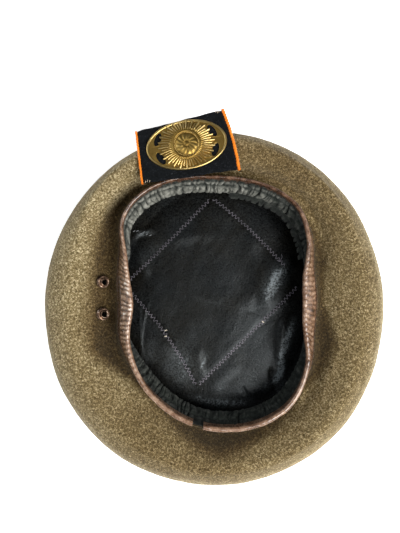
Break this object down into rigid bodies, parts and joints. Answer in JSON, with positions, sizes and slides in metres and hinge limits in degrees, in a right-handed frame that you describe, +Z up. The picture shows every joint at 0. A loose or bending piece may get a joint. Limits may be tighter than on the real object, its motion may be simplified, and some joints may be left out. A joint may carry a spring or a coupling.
{
  "type": "felt beret",
  "caption": "Wool felt army beret lying upside-down on its crown, with leather band, black lining, vent eyelets and a brass badge on piped backing cloth.",
  "frame": {"origin": "centre of the flat face of the crown, on which the beret lies upside-down", "axes": "+Z up out of the head opening, +Y to the front, where the badge is, +X to the side without eyelets"},
  "size_m": [0.2802, 0.3034, 0.0546],
  "materials": {
    "wool_felt": "milled wool felt, matt with a short nap",
    "buckram": "stiffened card and canvas",
    "lining": "glossy black lining cloth",
    "lining_thread": "grey-violet sewing thread",
    "facing": "gathered dark green-grey cotton",
    "leather": "waxed brown leather",
    "binding_thread": "dark brown sewing thread",
    "eyelet": "antique copper-brown brass",
    "backing_cloth": "black woollen badge cloth",
    "piping": "orange woven piping",
    "tack_thread": "pale sewing thread",
    "badge_brass": "satin struck brass with a dull patina"
  },
  "bodies": {
    "beret": {"felt_body": "wool_felt", "front_stiffener": "buckram", "lining_crown": "lining", "lining_side": "lining", "crown_patch": "lining", "patch_zigzag_thread": "lining_thread", "lining_tack_thread": "lining_thread", "sweatband_facing": "facing", "facing_lower_frill": "facing", "leather_binding": "leather", "binding_seam_thread": "binding_thread", "vent_eyelet_front": "eyelet", "vent_eyelet_rear": "eyelet", "eyelet_washer_front": "eyelet", "eyelet_washer_rear": "eyelet", "badge_backing_cloth": "backing_cloth", "backing_stiffener": "buckram", "piping_left": "piping", "piping_right": "piping", "backing_tack_thread": "tack_thread", "badge_plate": "badge_brass", "badge_sunburst": "badge_brass", "badge_centre": "badge_brass", "badge_lug_left": "badge_brass", "badge_lug_right": "badge_brass"},
    "split_pin": {"badge_split_pin": "badge_brass"}
  },
  "joints": [
    {"name": "split_pin_slide", "type": "slide", "parent": "beret", "child": "split_pin", "axis": [-0.9857, -0.1685, 0], "range_m": [0, 0.012]}
  ]
}
